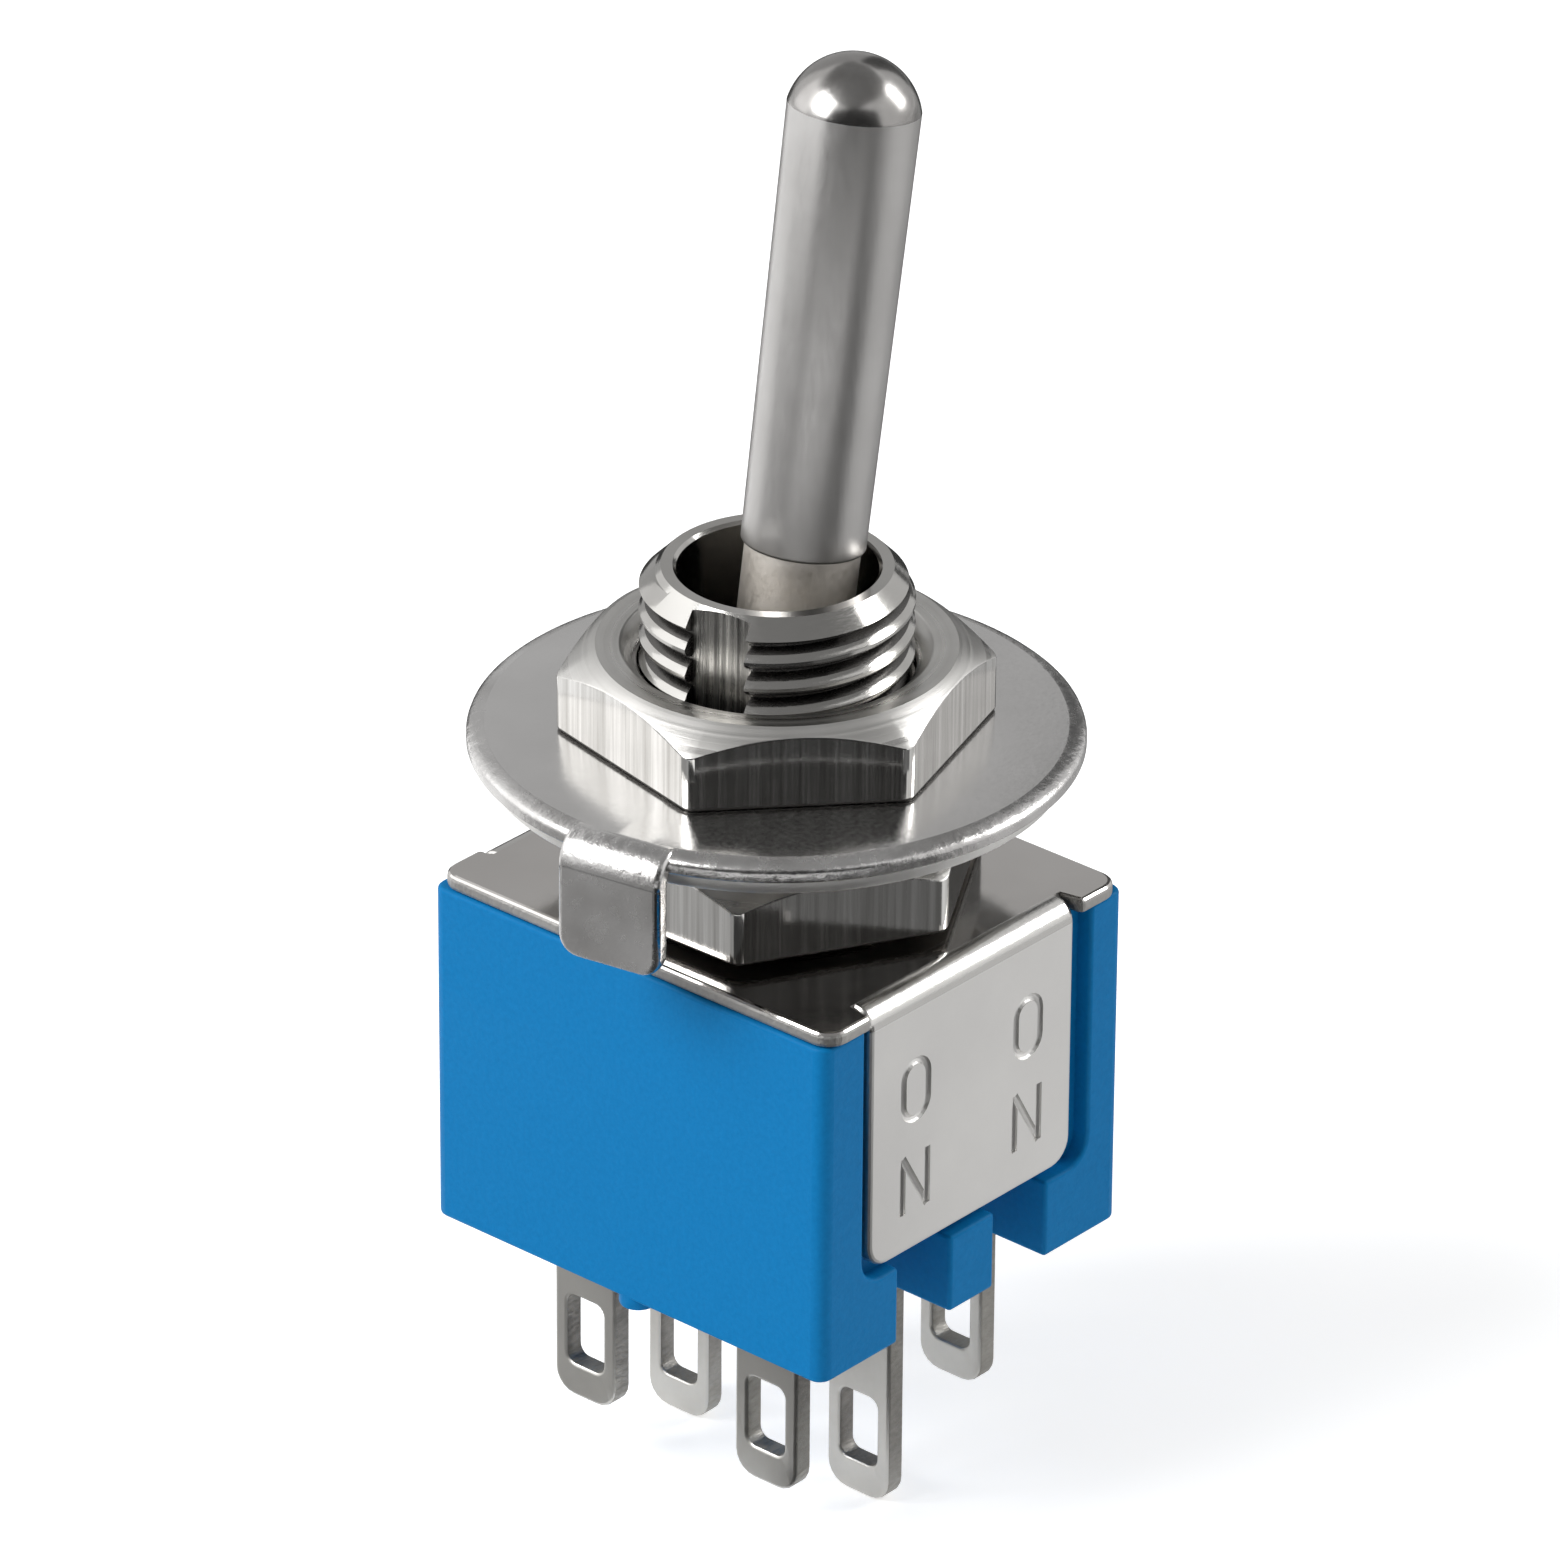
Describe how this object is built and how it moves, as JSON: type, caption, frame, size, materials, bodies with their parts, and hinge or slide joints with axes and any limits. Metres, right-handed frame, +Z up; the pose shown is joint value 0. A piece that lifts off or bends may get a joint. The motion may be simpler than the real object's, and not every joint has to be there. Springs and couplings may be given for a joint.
{
  "type": "panel toggle switch",
  "caption": "Sub-miniature panel toggle switch with a round bat lever, keyed threaded bushing, nuts, tab ring, toothed washer, folded metal cover, blue case and slotted solder lugs.",
  "frame": {"origin": "on the bushing axis, at the top face of the folded cover", "axes": "+Z up the bushing towards the lever, X along the lever's throw with the lever leaning to +X at rest, -Y towards the marked flap of the cover"},
  "size_m": [0.0113, 0.011, 0.0271],
  "materials": {
    "blue_plastic": "matte moulded",
    "cover_metal": "bright nickel plated sheet",
    "bushing_metal": "turned and nickel plated",
    "lever_metal": "satin nickel plated",
    "nut_metal": "nickel plated, satin",
    "washer_metal": "tumbled nickel plated",
    "lug_metal": "matte tin plated",
    "pin_metal": "drawn",
    "spring_metal": "drawn",
    "contact_metal": "silver plated",
    "inner_plastic": "matte moulded"
  },
  "bodies": {
    "switch_body": {"case": "blue_plastic", "cover_frame": "cover_metal", "bushing": "bushing_metal", "pivot_pin": "pin_metal", "upper_nut": "nut_metal", "lower_nut": "nut_metal", "locking_ring": "washer_metal", "lock_washer": "washer_metal", "front_common_lug": "lug_metal", "front_left_lug": "lug_metal", "front_left_contact": "contact_metal", "front_right_lug": "lug_metal", "front_right_contact": "contact_metal", "rear_common_lug": "lug_metal", "rear_left_lug": "lug_metal", "rear_left_contact": "contact_metal", "rear_right_lug": "lug_metal", "rear_right_contact": "contact_metal"},
    "lever_body": {"lever": "lever_metal", "actuator_block": "inner_plastic", "front_plunger_spring": "spring_metal", "rear_plunger_spring": "spring_metal"},
    "front_plunger_body": {"front_plunger": "inner_plastic"},
    "rear_plunger_body": {"rear_plunger": "inner_plastic"},
    "front_rocker_body": {"front_rocker": "contact_metal"},
    "rear_rocker_body": {"rear_rocker": "contact_metal"}
  },
  "joints": [
    {"name": "lever_throw", "type": "hinge", "parent": "switch_body", "child": "lever_body", "pos_m": [0, 0, 0.002], "axis": [0, 1, 0], "range_deg": [-18, 0]},
    {"name": "front_rocker_tilt", "type": "hinge", "parent": "switch_body", "child": "front_rocker_body", "pos_m": [0.00008, -0.00217, -0.00382], "axis": [0, 1, 0], "range_deg": [0, 12]},
    {"name": "front_plunger_press", "type": "slide", "parent": "lever_body", "child": "front_plunger_body", "axis": [0.1564, 0, 0.9877], "range_m": [0, 0.00035], "stiffness_N_per_m": 100, "springref_m": -0.001, "deforming": ["front_plunger_spring"]},
    {"name": "rear_rocker_tilt", "type": "hinge", "parent": "switch_body", "child": "rear_rocker_body", "pos_m": [0.00008, 0.00217, -0.00382], "axis": [0, 1, 0], "range_deg": [0, 12]},
    {"name": "rear_plunger_press", "type": "slide", "parent": "lever_body", "child": "rear_plunger_body", "axis": [0.1564, 0, 0.9877], "range_m": [0, 0.00035], "stiffness_N_per_m": 100, "springref_m": -0.001, "deforming": ["rear_plunger_spring"]}
  ],
  "couplings": [
    {"joint": "front_rocker_tilt", "follows": "lever_throw", "ratio": -0.66667},
    {"joint": "rear_rocker_tilt", "follows": "lever_throw", "ratio": -0.66667}
  ]
}
